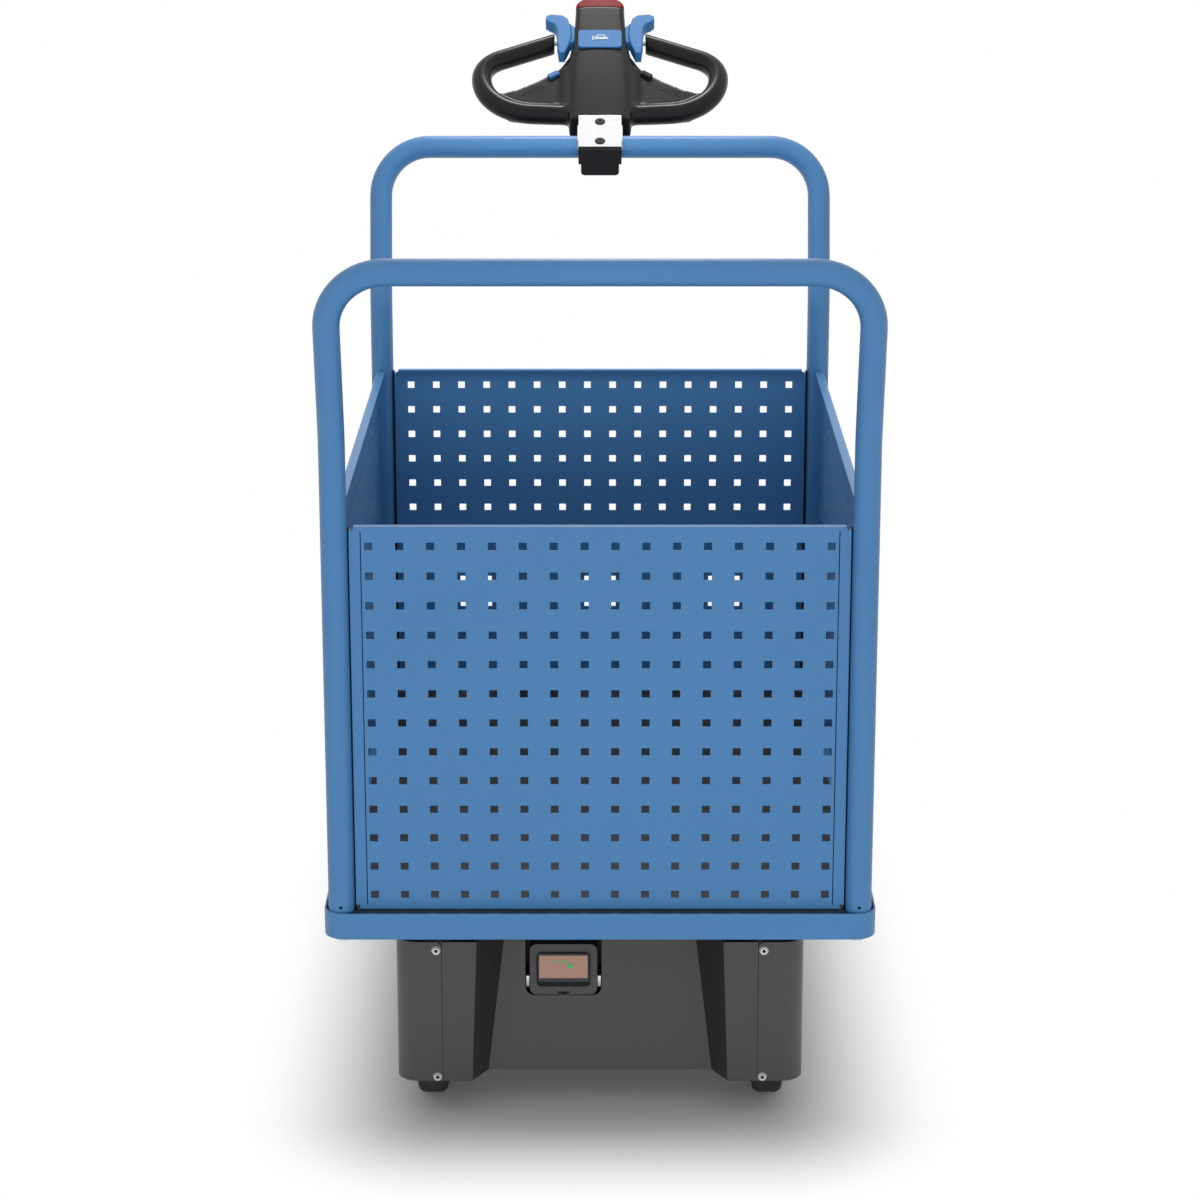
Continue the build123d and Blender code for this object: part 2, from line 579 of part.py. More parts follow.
spine = loft(
    [
        spine_section(CLAMP_HIGH, SPINE_HALF_LOW, SPINE_BELLY_LOW),
        spine_section(SPINE_HIGH, SPINE_HALF_HIGH, SPINE_BELLY_HIGH),
    ],
    ruled=True,
)
nodes["head_spine"] = one_solid(head * spine)
half = SPINE_HALF_HIGH
edge_v = SPINE_HIGH + BELLY_EDGE
belly = Line((-half, SPINE_HIGH), (half, SPINE_HIGH)) + Line((half, SPINE_HIGH), (half, edge_v))
belly += ThreePointArc((half, edge_v), (0, edge_v + BELLY_BULGE), (-half, edge_v))
belly += Line((-half, edge_v), (-half, SPINE_HIGH))
belly = Pos(0, 0, SPINE_BELLY_HIGH) * extrude(make_face(belly), SPINE_TOP - SPINE_BELLY_HIGH)
end_section = spine_section(SPINE_HIGH, SPINE_HALF_HIGH, SPINE_BELLY_HIGH)
belly &= extrude(end_section, BELLY_EDGE + 2 * BELLY_BULGE, dir=(0, 1, 0))
nodes["belly_button"] = one_solid(head * belly)
horn = Pos(0, HORN_V, SPINE_TOP - SPINE_CROWN) * RectangleRounded(HORN_W, HORN_H, SPINE_CORNER_R)
nodes["horn_button"] = one_solid(head * (extrude(horn, SPINE_CROWN + HORN_T) - spine))

# Control head: a grip loop with its web on each side, a thumb lever on a shaft, and a rocker.
# All outlines are (across, along) for the right side.
GRIP_PATH = ((20.0, 70.0), (180.5, 80.0), (180.5, 188.0), (58.0, 246.0))
GRIP_BENDS = (81.0, 49.0)
WEB = ((20.0, 66.0), (136.0, 70.0), (165.0, 100.0), (154.0, 112.0), (126.0, 122.0), (95.0, 142.0), (76.0, 157.0))
WEB_ARC = ((64.0, 170.0), (56.0, 184.0))
FLARE = ((56.0, 184.0), (49.5, 203.0), (44.5, 232.0))
WEB_TIP = (42.5, 206.0)
SHOULDER = ((30.0, 22.0), (46.5, 20.0), (50.5, 14.5), (55.0, 11.0), (62.0, 9.0), (30.0, 0.0))
SHOULDER_END = ((30.0, 22.0), (41.5, 20.0), (42.0, 14.5), (42.5, 11.0), (43.0, 9.0), (30.0, 0.0))
SHOULDER_RUN = (62.0, 172.0, 204.0)
LEVER = (
    (84.5, 275.0), (83.5, 283.5), (77.5, 288.0), (58.0, 286.0), (50.0, 278.0), (45.5, 259.0), (44.0, 237.0),
    (47.5, 215.0), (54.5, 195.0), (63.5, 195.0), (66.0, 221.0), (66.0, 244.0), (68.0, 258.0), (72.0, 265.0),
    (79.0, 269.0),
)
ROCKER = (71.0, 153.0, -38.0)
for side, s in SIDES:
    path = FilletPolyline(*[(x, v, 0) for x, v in GRIP_PATH], radius=list(GRIP_BENDS))
    start = Plane(origin=(GRIP_PATH[0][0], GRIP_PATH[0][1], 0), z_dir=(1, 0, 0))
    loop = sweep(start * Circle(GRIP_R), path=path)
    loop -= block(0, GRIP_END_X, GRIP_PATH[1][1] + 2 * GRIP_R, 2 * GRIP_PATH[3][1], -50, 50)
    edge = Polyline(*WEB) + ThreePointArc(WEB[-1], WEB_ARC[0], WEB_ARC[1])
    inner_x = WEB[0][0]
    web = edge + Polyline(WEB_ARC[1], WEB_TIP, (inner_x, WEB_TIP[1]), WEB[0])
    loop += Pos(0, 0, WEB_BOTTOM) * extrude(make_face(web), WEB_TOP - WEB_BOTTOM)
    flare = ThreePointArc(*FLARE) + Polyline(FLARE[2], (inner_x, FLARE[2][1]), (inner_x, FLARE[0][1]), FLARE[0])
    loop += Pos(0, 0, WEB_BOTTOM) * extrude(make_face(flare), FLARE_TOP - WEB_BOTTOM)
    sections = []
    for v, outline in zip(SHOULDER_RUN, (SHOULDER, SHOULDER, SHOULDER_END)):
        plane = Plane(origin=(0, v, 0), x_dir=(1, 0, 0), z_dir=(0, -1, 0))
        sections.append(plane * make_face(Polyline(*outline, close=True)))
    loop += loft(sections, ruled=True)
    loop -= spine
    lever = Pos(0, 0, LEVER_LOW) * extrude(make_face(Polyline(*LEVER, close=True)), LEVER_TOP - LEVER_LOW)
    lever = fillet(lever.edges().filter_by(Axis.Z).sort_by(Axis.X)[-3:], 3)
    lever -= rod("x", SHAFT_R, 0, GRIP_END_X, SHAFT_V, SHAFT_W)
    shaft = rod("x", SHAFT_R, inner_x, GRIP_END_X, SHAFT_V, SHAFT_W) - spine
    rocker_x, rocker_v, rocker_turn = ROCKER
    rocker = Pos(rocker_x, rocker_v, WEB_TOP + 2.5) * Rot(0, 0, rocker_turn) * Box(18, 8, 5) - loop
    for name, piece in (
        ("head_loop_", loop), ("thumb_lever_", lever), ("lever_shaft_", shaft), ("rocker_", rocker)
    ):
        piece = max(piece.solids(), key=lambda solid: solid.volume)
        nodes[name + side] = one_solid(head * (piece if s > 0 else mirror(piece, Plane.YZ)))
nodes["lever_shafts"] = Compound([nodes.pop("lever_shaft_" + side) for side, _ in SIDES])

# Move everything so that the origin lies under the middle of the whole length, and write the files
boxes = [shape.bounding_box() for shape in nodes.values()]
middle_y = (min(b.min.Y for b in boxes) + max(b.max.Y for b in boxes)) / 2
os.makedirs("parts", exist_ok=True)
for name, shape in nodes.items():
    export_step(Pos(0, -middle_y, 0) * shape, "parts/" + name + ".step")
print(len(nodes), "nodes, platform centre at y =", round(-middle_y, 4))
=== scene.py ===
# Electric platform truck: the finish of every surface and the small fixings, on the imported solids.
import math
from collections import namedtuple

import bmesh
import bpy
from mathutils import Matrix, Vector


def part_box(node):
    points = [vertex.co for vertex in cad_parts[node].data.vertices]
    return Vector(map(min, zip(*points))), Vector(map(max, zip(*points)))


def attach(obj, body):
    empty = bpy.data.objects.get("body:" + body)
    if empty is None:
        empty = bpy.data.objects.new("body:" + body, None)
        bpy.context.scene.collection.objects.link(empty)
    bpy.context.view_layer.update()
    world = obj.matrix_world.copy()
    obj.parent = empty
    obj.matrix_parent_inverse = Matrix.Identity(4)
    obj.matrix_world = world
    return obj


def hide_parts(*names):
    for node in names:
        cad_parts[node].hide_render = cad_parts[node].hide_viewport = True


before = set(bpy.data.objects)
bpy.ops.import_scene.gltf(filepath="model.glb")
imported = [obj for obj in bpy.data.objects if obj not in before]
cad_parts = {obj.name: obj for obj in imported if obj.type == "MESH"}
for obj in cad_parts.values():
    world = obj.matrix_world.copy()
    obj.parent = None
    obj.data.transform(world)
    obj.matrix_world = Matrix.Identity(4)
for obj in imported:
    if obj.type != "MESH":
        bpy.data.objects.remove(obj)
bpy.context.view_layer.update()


# Platform rim: a welded angle frame of 3 mm steel with rounded corners, powder coated in satin blue.
# The coat has a fine orange peel, and near the floor it carries a little dust.
class Wire:
    """A socket in a node tree. Arithmetic on it adds Math nodes."""

    def __init__(self, shading, socket):
        self.shading = shading
        self.socket = socket

    def math(self, operation, *values):
        terms = dict(enumerate((self, *values)))
        return self.shading.node("ShaderNodeMath", {"operation": operation}, terms)

    def __add__(self, other):
        return self.math("ADD", other)

    def __sub__(self, other):
        return self.math("SUBTRACT", other)

    def __rsub__(self, other):
        return self.math("MULTIPLY_ADD", -1.0, other)

    def __mul__(self, other):
        return self.math("MULTIPLY", other)

    def __pow__(self, other):
        return self.math("POWER", other)

    __radd__ = __add__
    __rmul__ = __mul__

    def over(self, low, high):
        """0 below low, 1 above high, smooth between."""
        ends = {"Value": self, "From Min": low, "From Max": high}
        return self.shading.node("ShaderNodeMapRange", {"interpolation_type": "SMOOTHSTEP"}, ends)


class Shading:
    """A shader's node tree, with methods that add nodes to it."""

    def __init__(self, tree):
        self.tree = tree

    def node(self, kind, settings=None, sockets=None, output=0):
        """One node: its type, its settings, the values or links of its sockets, the output to use."""
        made = self.tree.nodes.new(kind)
        for key, value in (settings or {}).items():
            setattr(made, key, value)
        for key, value in (sockets or {}).items():
            self.feed(made.inputs[key], value)
        return Wire(self, made.outputs[output])

    def feed(self, socket, value):
        if isinstance(value, Wire):
            self.tree.links.new(value.socket, socket)
        else:
            socket.default_value = value

    def place(self):
        """Object coordinates, in metres."""
        return self.node("ShaderNodeTexCoord", output="Object")

    def axes(self):
        split = self.node("ShaderNodeSeparateXYZ", None, {"Vector": self.place()}).socket.node
        return [Wire(self, socket) for socket in split.outputs]

    def noise(self, scale, detail=2.0, roughness=0.5, stretch=(1, 1, 1)):
        at = self.node("ShaderNodeMapping", None, {"Vector": self.place(), "Scale": stretch})
        sizes = {"Vector": at, "Scale": scale, "Detail": detail, "Roughness": roughness}
        return self.node("ShaderNodeTexNoise", None, sizes)

    def mix(self, factor, first, second):
        colours = {"Factor": factor, 6: first, 7: second}
        return self.node("ShaderNodeMix", {"data_type": "RGBA"}, colours, 2)

    def bump(self, height, strength, distance):
        sizes = {"Height": height, "Strength": strength, "Distance": distance}
        return self.node("ShaderNodeBump", None, sizes)


class Finish(Shading):
    """A material with a Principled shader. Its sockets are set by name, with _ for a space."""

    def __init__(self, name, **fixed):
        self.material = bpy.data.materials.new(name)
        self.material.use_nodes = True
        super().__init__(self.material.node_tree)
        self.shader = self.tree.nodes["Principled BSDF"]
        self.set(**fixed)

    def set(self, **sockets):
        for name, value in sockets.items():
            self.feed(self.shader.inputs[name.replace("_", " ")], value)


def rgb(red, green, blue, gain=1.0):
    """An sRGB colour, 0 to 255, as the linear colour a shader takes, times a gain."""
    values = [c / 255 for c in (red, green, blue)]
    linear = [v / 12.92 if v <= 0.04045 else ((v + 0.055) / 1.055) ** 2.4 for v in values]
    return (*[min(1.0, v * gain) for v in linear], 1.0)


def powder_coat(name, colour, dust_top, dust_share):
    """Satin powder coat with orange peel, dusty from the floor up to a height in metres."""
    coat = Finish(name, Coat_Weight=0.08, Coat_Roughness=0.3, Specular_IOR_Level=0.45)
    low_down = 1.0 - coat.axes()[2].over(0.03, dust_top)
    dust = low_down * coat.noise(45, 5, 0.6).over(0.38, 0.8) * dust_share
    paint = coat.mix(coat.noise(3, 2).over(0.25, 0.75), rgb(*colour, 0.95), rgb(*colour))
    peel = coat.noise(1100, 2)
    coat.set(
        Base_Color=coat.mix(dust, paint, rgb(150, 146, 138)),
        Roughness=0.38 + coat.noise(30, 4) * 0.08 + dust * 0.25,
        Normal=coat.bump(peel, 0.1, 0.0004),
    )
    return coat.material


def finished(piece, material=None):
    """The piece with its modifiers applied, and its material set where one is given."""
    bpy.context.view_layer.update()
    seen = piece.evaluated_get(bpy.context.evaluated_depsgraph_get())
    mesh = bpy.data.meshes.new_from_object(seen)
    piece.modifiers.clear()
    piece.data = mesh
    if material:
        mesh.materials.clear()
        mesh.materials.append(material)
    return piece


SAME_POINT = 1e-6  # metres: corners this close are one
FLAT = math.radians(0.5)
ON_TOP = 1e-4
FOLD_TURN = 1.0  # radians
SHEET_EDGE = 0.005  # metres: a lower face is a sheet's own thickness, not a side of it


def mark_folds(shape):
    """Weights the outer edges along a sheet's top, where its fold turns over."""
    folds = shape.edges.layers.float.new("bevel_weight_edge")
    top = max(point.co.z for point in shape.verts)
    for line in shape.edges:
        along_top = all(top - point.co.z < ON_TOP for point in line.verts)
        if along_top and line.is_convex and line.calc_face_angle(0) > FOLD_TURN:
            heights = [[point.co.z for point in face.verts] for face in line.link_faces]
            line[folds] = float(max(max(h) - min(h) for h in heights) > SHEET_EDGE)


def softened(node, width, material, body="chassis", segments=2, angle=35, bend=0.0):
    """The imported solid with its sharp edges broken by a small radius. It stands for the solid.

    A bend is the larger radius of the folds along a sheet's top."""
    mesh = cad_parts[node].data.copy()
    shape = bmesh.new()
    shape.from_mesh(mesh)
    bmesh.ops.remove_doubles(shape, verts=shape.verts, dist=SAME_POINT)
    bmesh.ops.dissolve_limit(shape, angle_limit=FLAT, verts=shape.verts, edges=shape.edges)
    for face in shape.faces:
        face.smooth = True
    rounds = [("edge_radius", "ANGLE", width, segments)]
    if bend:
        mark_folds(shape)
        rounds.insert(0, ("bend", "WEIGHT", bend, 3))
    shape.to_mesh(mesh)
    shape.free()
    piece = bpy.data.objects.new(node + "_finished", mesh)
    bpy.context.collection.objects.link(piece)
    for name, limit, radius, steps in rounds:
        edge = piece.modifiers.new(name, "BEVEL")
        edge.width = radius
        edge.segments = steps
        edge.limit_method = limit
        edge.angle_limit = math.radians(angle)
    piece.modifiers.new("flat_faces", "WEIGHTED_NORMAL").weight = 100
    finished(piece, material)
    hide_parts(node)
    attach(piece, body)
    return piece


blue_coat = powder_coat("blue_powder_coat", (73, 130, 184), dust_top=0.30, dust_share=0.1)
softened("platform_rim", 0.0012, blue_coat)

# Cross rails: square steel tubes across the underside, which carry the deck and the casters.
# They are cut to length, sprayed black and welded into the rim.
black_coat = powder_coat("black_rail_paint", (40, 41, 43), dust_top=0.25, dust_share=0.1)
softened("cross_rails", 0.002, black_coat)

# Deck board: birch plywood faced with dark resin film, pressed with a fine wire mesh against
# slipping. It lies loose on the rim's ledge, and loads have scuffed it.
MESH_PRINT = 900  # radians a metre, a print of 3.5 mm
deck_film = Finish("anti_slip_film", Specular_IOR_Level=0.4)
deck_x, deck_y, _ = deck_film.axes()
weave = (deck_x * MESH_PRINT).math("SINE") * (deck_y * MESH_PRINT).math("SINE")
scuff = deck_film.noise(14, 6, 0.65).over(0.52, 0.78)
deck_film.set(
    Base_Color=deck_film.mix(scuff * 0.4, rgb(36, 37, 40), rgb(66, 64, 62)),
    Roughness=0.5 + scuff * 0.2,
    Normal=deck_film.bump(weave.math("ABSOLUTE"), 0.35, 0.0005),
)
softened("deck_board", 0.001, deck_film.material)


# Tube handles: 33 mm steel tube, bent cold in one piece and powder coated with the frame.
# Each foot stands in a corner of the rim.
def painted(material, *nodes):
    """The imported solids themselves, in this finish."""
    for node in nodes:
        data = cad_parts[node].data
        data.materials.clear()
        data.materials.append(material)


painted(blue_coat, "handle_drive_end", "handle_operator_end")

# Perforated walls: 2 mm sheet, punched with square holes, its four edges folded in, powder coated.
# The folds along the top are bent to a larger radius than the punched edges.
for wall in ("wall_drive_end", "wall_operator_end", "wall_left", "wall_right"):
    softened(wall, 0.0004, blue_coat, segments=1, bend=0.0022)


# Wall seals: black rubber strips pressed between the end walls' folds and the tubes, so that the
# walls don't rattle. Each is a flat strip with a rounded bead along its outer edge. A thin black
# strip lies in the groove beside each end wall's edge strip, a painted shadow for the groove's step.
def added(name, mesh, material):
    """A new piece on the chassis, from a mesh in its final place."""
    piece = bpy.data.objects.new(name, mesh)
    bpy.context.collection.objects.link(piece)
    mesh.materials.clear()
    mesh.materials.append(material)
    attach(piece, "chassis")
    return piece


def slab(name, outline, depth, place, hole=None, edge=0.0):
    """A slab on an outline in millimetres. place(x, y, n) gives its points in the truck's frame.

    A hole has as many points as the outline. The edge draws the front face in by that much."""
    count = len(outline)
    middle = Vector((sum(x for x, _ in outline) / count, sum(y for _, y in outline) / count))
    shape = bmesh.new()

    def ring(points, n, inset):
        made = []
        for point in points:
            reach = Vector(point) - middle
            spot = middle + reach * (1 - inset / max(reach.length, SAME_POINT))
            made.append(shape.verts.new(place(spot.x, spot.y, n)))
        return made

    back = ring(outline, 0, 0)
    shoulder = ring(outline, depth - edge, 0)
    front = ring(outline, depth, edge)
    loops = [back, shoulder, front]
    if hole:
        loops += [ring(hole, depth, 0), ring(hole, 0, 0), back]
    else:
        shape.faces.new(front)
        shape.faces.new(back)
    for first, second in zip(loops, loops[1:]):
        for i in range(count):
            j = (i + 1) % count
            shape.faces.new((first[i], first[j], second[j], second[i]))
    bmesh.ops.recalc_face_normals(shape, faces=shape.faces)
    mesh = bpy.data.meshes.new(name)
    shape.to_mesh(mesh)
    shape.free()
    return mesh


def upright(x, y, z, across, outward):
    """Places along a post, in millimetres from its foot: across, outwards and up."""
    return lambda a, b, n: Vector((x + across * a / 1000, y + outward * b / 1000, z + n / 1000))


# Black rubber for the seals, also used as painted shade: the groove shadow lines, drain holes, bracket
# dimples and screw sockets.
rubber_and_shade_finish = Finish("black_rubber_and_painted_shade", Specular_IOR_Level=0.2)
rubber_and_shade_finish.set(
    Base_Color=rubber_and_shade_finish.mix(rubber_and_shade_finish.noise(300), rgb(12, 12, 13), rgb(22, 22, 23)),
    Roughness=0.6 + rubber_and_shade_finish.noise(500) * 0.2,
)
black_rubber_and_painted_shade = rubber_and_shade_finish.material
SEAL_PROFILE = ((0.0, 0.0), (1.9, 0.0), (1.9, 7.0), (2.0, 8.5), (1.4, 9.6), (0.5, 9.6), (0.0, 8.5))
SEAL_IN = 0.0115
SEAL_END = 0.002
GROOVE_IN = 0.015
GROOVE_D = 0.0015
GROOVE_END = 0.0055
SHADOW_LINE_PROFILE = ((0.0, 0.0), (1.2, 0.0), (1.2, 0.5), (0.6, 0.8), (0.0, 0.5))
for wall, out in (("wall_drive_end", -1), ("wall_operator_end", 1)):
    low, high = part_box(wall)
    face_y = low.y if out < 0 else high.y
    for side, s in (("left", -1), ("right", 1)):
        seal_foot = upright(s * high.x, face_y - out * SEAL_IN, low.z + SEAL_END, s, out)
        strip = slab("seal", SEAL_PROFILE, (high.z - low.z - 2 * SEAL_END) * 1000, seal_foot)
        added(wall.replace("wall", "seal") + "_" + side, strip, black_rubber_and_painted_shade)
        # painted shadow: a thin black strip in the groove stands in for the shade along the edge strip's
        # step
        shadow_line_x = s * (high.x - GROOVE_IN)
        shadow_line_foot = upright(shadow_line_x, face_y - out * GROOVE_D, low.z + GROOVE_END, s, out)
        joint = slab("joint", SHADOW_LINE_PROFILE, (high.z - low.z - 2 * GROOVE_END) * 1000, shadow_line_foot)
        added(wall.replace("wall", "joint") + "_" + side, joint, black_rubber_and_painted_shade)


# Foot bolts: zinc plated hexagon bolts with washers, screwed up into the tube feet under the rim.
# A small black disc faces outwards at each foot, painted shade standing for a drain hole.
FIXING_LENGTHS = (
    "Head Radius", "Crown Radius", "Head Height", "Washer Radius", "Washer Thickness", "Socket Radius"
)
Fixing = namedtuple("Fixing", "head crown height washer washer_t socket")
HEXAGON = 6
ROUND = 24
SOCKET_T = 0.0003


def fixing_tree(name, sides):
    """Geometry nodes that set a head with a washer and a socket on each point, along its aim."""
    tree = bpy.data.node_groups.new(name, "GeometryNodeTree")

    def declare(label, kind, in_out="INPUT"):
        tree.interface.new_socket(label, in_out=in_out, socket_type=kind)

    def add(kind, settings=None, sockets=None):
        made = tree.nodes.new(kind)
        for key, value in (settings or {}).items():
            setattr(made, key, value)
        for key, value in (sockets or {}).items():
            if isinstance(value, bpy.types.NodeSocket):
                tree.links.new(value, made.inputs[key])
            else:
                made.inputs[key].default_value = value
        return made.outputs[0]

    def join(*parts):
        joined = tree.nodes.new("GeometryNodeJoinGeometry")
        for part in parts:
            tree.links.new(part, joined.inputs[0])
        return joined.outputs[0]

    declare("Points", "NodeSocketGeometry")
    for label in FIXING_LENGTHS:
        declare(label, "NodeSocketFloat")
    declare("Finish", "NodeSocketMaterial")
    declare("Socket Finish", "NodeSocketMaterial")
    declare("Fixings", "NodeSocketGeometry", "OUTPUT")
    given = tree.nodes.new("NodeGroupInput").outputs

    washer_sizes = {
        "Vertices": ROUND, "Radius": given["Washer Radius"], "Depth": given["Washer Thickness"],
    }
    head_sizes = {
        "Vertices": sides, "Radius Bottom": given["Head Radius"], "Radius Top": given["Crown Radius"],
        "Depth": given["Head Height"],
    }
    # The socket is a thin disc on the head; in black it is painted shade standing for the hexagon hole.
    socket_sizes = {"Vertices": HEXAGON, "Radius": given["Socket Radius"], "Depth": SOCKET_T}
    washer = add("GeometryNodeMeshCylinder", None, washer_sizes)
    head = add("GeometryNodeMeshCone", None, head_sizes)
    socket = add("GeometryNodeMeshCylinder", None, socket_sizes)
    lift = add("ShaderNodeCombineXYZ", None, {"Z": given["Head Height"]})
    socket = add("GeometryNodeTransform", None, {"Geometry": socket, "Translation": lift})
    aim = add("GeometryNodeInputNamedAttribute", {"data_type": "FLOAT_VECTOR"}, {"Name": "aim"})
    turn = add("FunctionNodeAlignRotationToVector", {"axis": "Z"}, {"Vector": aim})
    coated = []
    for part, finish in ((join(washer, head), "Finish"), (socket, "Socket Finish")):
        spread = {"Points": given["Points"], "Instance": part, "Rotation": turn}
        copies = add("GeometryNodeInstanceOnPoints", None, spread)
        real = add("GeometryNodeRealizeInstances", None, {"Geometry": copies})
        coat = {"Geometry": real, "Material": given[finish]}
        coated.append(add("GeometryNodeSetMaterial", None, coat))
    out = tree.nodes.new("NodeGroupOutput")
    tree.links.new(join(*coated), out.inputs[0])
    return tree


def fixings(name, tree, places, sizes, material, socket, body="chassis"):
    """One mesh of fixings at (point, aim) pairs. The sizes are in millimetres."""
    points = bpy.data.meshes.new(name)
    points.from_pydata([place for place, _ in places], [], [])
    aims = points.attributes.new("aim", "FLOAT_VECTOR", "POINT")
    aims.data.foreach_set("vector", [c for _, aim in places for c in Vector(aim).normalized()])
    piece = bpy.data.objects.new(name, points)
    bpy.context.collection.objects.link(piece)
    modifier = piece.modifiers.new("fixings", "NODES")
    modifier.node_group = tree
    values = {label: size / 1000 for label, size in zip(FIXING_LENGTHS, sizes)}
    values.update({"Finish": material, "Socket Finish": socket})
    for item in tree.interface.items_tree:
        if item.in_out == "INPUT" and item.name in values:
            modifier[item.identifier] = values[item.name]
    finished(piece)
    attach(piece, body)
    return piece


bright_zinc = Finish("zinc_plate", Metallic=1.0)
bloom = bright_zinc.noise(90, 5, 0.6)
streak = bright_zinc.noise(220, 3, 0.5, (1, 1, 0.12))
bright_zinc.set(
    Base_Color=bright_zinc.mix(bloom.over(0.35, 0.7), rgb(200, 201, 199), rgb(224, 224, 221)),
    Roughness=0.24 + bloom * 0.22 + streak * 0.08,
    Normal=bright_zinc.bump(streak, 0.08, 0.0003),
)
zinc = bright_zinc.material
hex_head = fixing_tree("hexagon_head", HEXAGON)
button_head = fixing_tree("button_head", ROUND)
TUBE_R = 0.0165
DRAIN_UP = 0.006
DRAIN_SUNK = 0.0002
FOOT_BOLT = Fixing(head=9.5, crown=8.8, height=6.6, washer=11.5, washer_t=3.2, socket=1.5)
DRAIN_SHADE_DISC = Fixing(head=2.1, crown=2.0, height=0.4, washer=2.2, washer_t=0.3, socket=1.2)
rim_low, rim_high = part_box("platform_rim")
rim_mid_y = (rim_low.y + rim_high.y) / 2
tube_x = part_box("handle_drive_end")[1].x - TUBE_R
foot_inset = rim_high.x - tube_x
foot_ys = (rim_low.y + foot_inset, rim_high.y - foot_inset)
feet = [Vector((sx * tube_x, y, rim_low.z)) for sx in (-1, 1) for y in foot_ys]
under = [(foot, (0, 0, -1)) for foot in feet]
fixings("foot_bolts", hex_head, under, FOOT_BOLT, zinc, zinc)
drains = []
for foot in feet:
    out = 1 if foot.y > rim_mid_y else -1
    drain = Vector((foot.x, foot.y + out * (TUBE_R - DRAIN_SUNK), rim_high.z + DRAIN_UP))
    drains.append((drain, (0, out, 0)))
# painted shade: the drain holes are flat black discs on the tube, not holes
fixings("drain_hole_painted_shade", button_head, drains, DRAIN_SHADE_DISC, black_rubber_and_painted_shade, black_rubber_and_painted_shade)


# Drive housing: mouldings of dark grey plastic with a fine spark-eroded grain. The front, with its
# leaning panel between two columns, and the two wheel covers are separate and meet at a fine seam.
# The slanting flanks beside the panel are darkened in colour, a painted shade for the recess.
def grained_plastic(name, colour, grain, depth, roughness=0.46, gloss=0.35):
    """Moulded plastic with cells of grain, a little rubbed, with painted shade where painted_shade_flank
    is 1.
    """
    plastic = Finish(name, Specular_IOR_Level=gloss)
    at = {"Vector": plastic.place(), "Scale": grain}
    cells = plastic.node("ShaderNodeTexVoronoi", {"feature": "SMOOTH_F1"}, at)
    rub = plastic.noise(9, 5, 0.6)
    # painted shade: the colour darkens to 0.42 where the mesh marks the shaded flanks
    painted_shade_flank = plastic.node("ShaderNodeAttribute", {"attribute_name": "painted_shade_flank"}, None, "Fac")
    face = plastic.mix(rub.over(0.42, 0.72) * 0.6, rgb(*colour), rgb(*colour, 1.15))
    plastic.set(
        Base_Color=plastic.mix(painted_shade_flank, face, rgb(*colour, 0.42)),
        Roughness=roughness + rub * 0.12,
        Normal=plastic.bump(cells, depth, 0.0004),
    )
    return plastic.material


FACE_BAND = 0.002
COLUMN_W = 0.03
FLANK_SLANT = (0.5, 0.97)
front_low, front_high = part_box("housing_front")
housing_grey = grained_plastic("housing_plastic", (47, 47, 47), 1500, 0.2, roughness=0.42, gloss=0.8)
moulding = softened("housing_front", 0.0006, housing_grey).data
painted_shade_mask = moulding.attributes.new("painted_shade_flank", "FLOAT", "FACE")
# painted shade: the slanting faces inside the recess are marked for a darker colour, standing in for their
# shade
for face in moulding.polygons:
    between_columns = abs(face.center.x) < front_high.x - COLUMN_W
    inside = face.center.y > front_low.y + FACE_BAND and between_columns
    slanting = FLANK_SLANT[0] < abs(face.normal.x) < FLANK_SLANT[1]
    painted_shade_mask.data[face.index].value = float(inside and slanting)
for side in ("left", "right"):
    softened("wheel_cover_" + side, 0.0006, housing_grey)
softened("housing_tray", 0.0015, black_coat)

# Cover screws: zinc button-head screws with a small washer, their hexagon socket a black disc of painted
# shade.
# One at the top and one at the foot of each seam hold the covers to the front.
SCREW_PAST_SEAM = 0.0072
SCREW_LOW = 0.006
SCREW_HIGH = 0.0115
COVER_SCREW = Fixing(head=5.2, crown=4.2, height=2.2, washer=5.6, washer_t=0.9, socket=2.5)
screw_x = front_high.x + SCREW_PAST_SEAM
screw_zs = (front_low.z + SCREW_LOW, front_high.z - SCREW_HIGH)
seam_ends = [
    (Vector((s * screw_x, front_low.y, z)), (0, -1, 0)) for s in (-1, 1) for z in screw_zs
]
fixings("cover_screws", button_head, seam_ends, COVER_SCREW, zinc, black_rubber_and_painted_shade)

# Battery: a cassette flush with the leaning panel, in a bay with finger room above it.
# The chrome ends of its bail handle show in the slots at its sides, dark below and bright above as a
# painted reflection.
battery_grey = grained_plastic("battery_plastic", (48, 48, 48), 1800, 0.15, roughness=0.42, gloss=0.8)
softened("battery_pack", 0.0008, battery_grey)
painted(battery_grey, "battery_bay")
bail_steel_painted_reflection = Finish("bail_steel_painted_reflection", Metallic=1.0)
latch_low, latch_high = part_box("battery_latches")
# painted reflection: the steel's colour runs from dark at the latches' foot to bright at their top
painted_reflection_ramp = bail_steel_painted_reflection.axes()[2].over(latch_low.z, latch_high.z)
bail_steel_painted_reflection.set(
    Base_Color=bail_steel_painted_reflection.mix(painted_reflection_ramp, rgb(66, 66, 68), rgb(226, 226, 228)),
    Roughness=0.2 + bail_steel_painted_reflection.noise(160, 4) * 0.14,
)
softened("battery_latches", 0.0015, bail_steel_painted_reflection.material, segments=3)

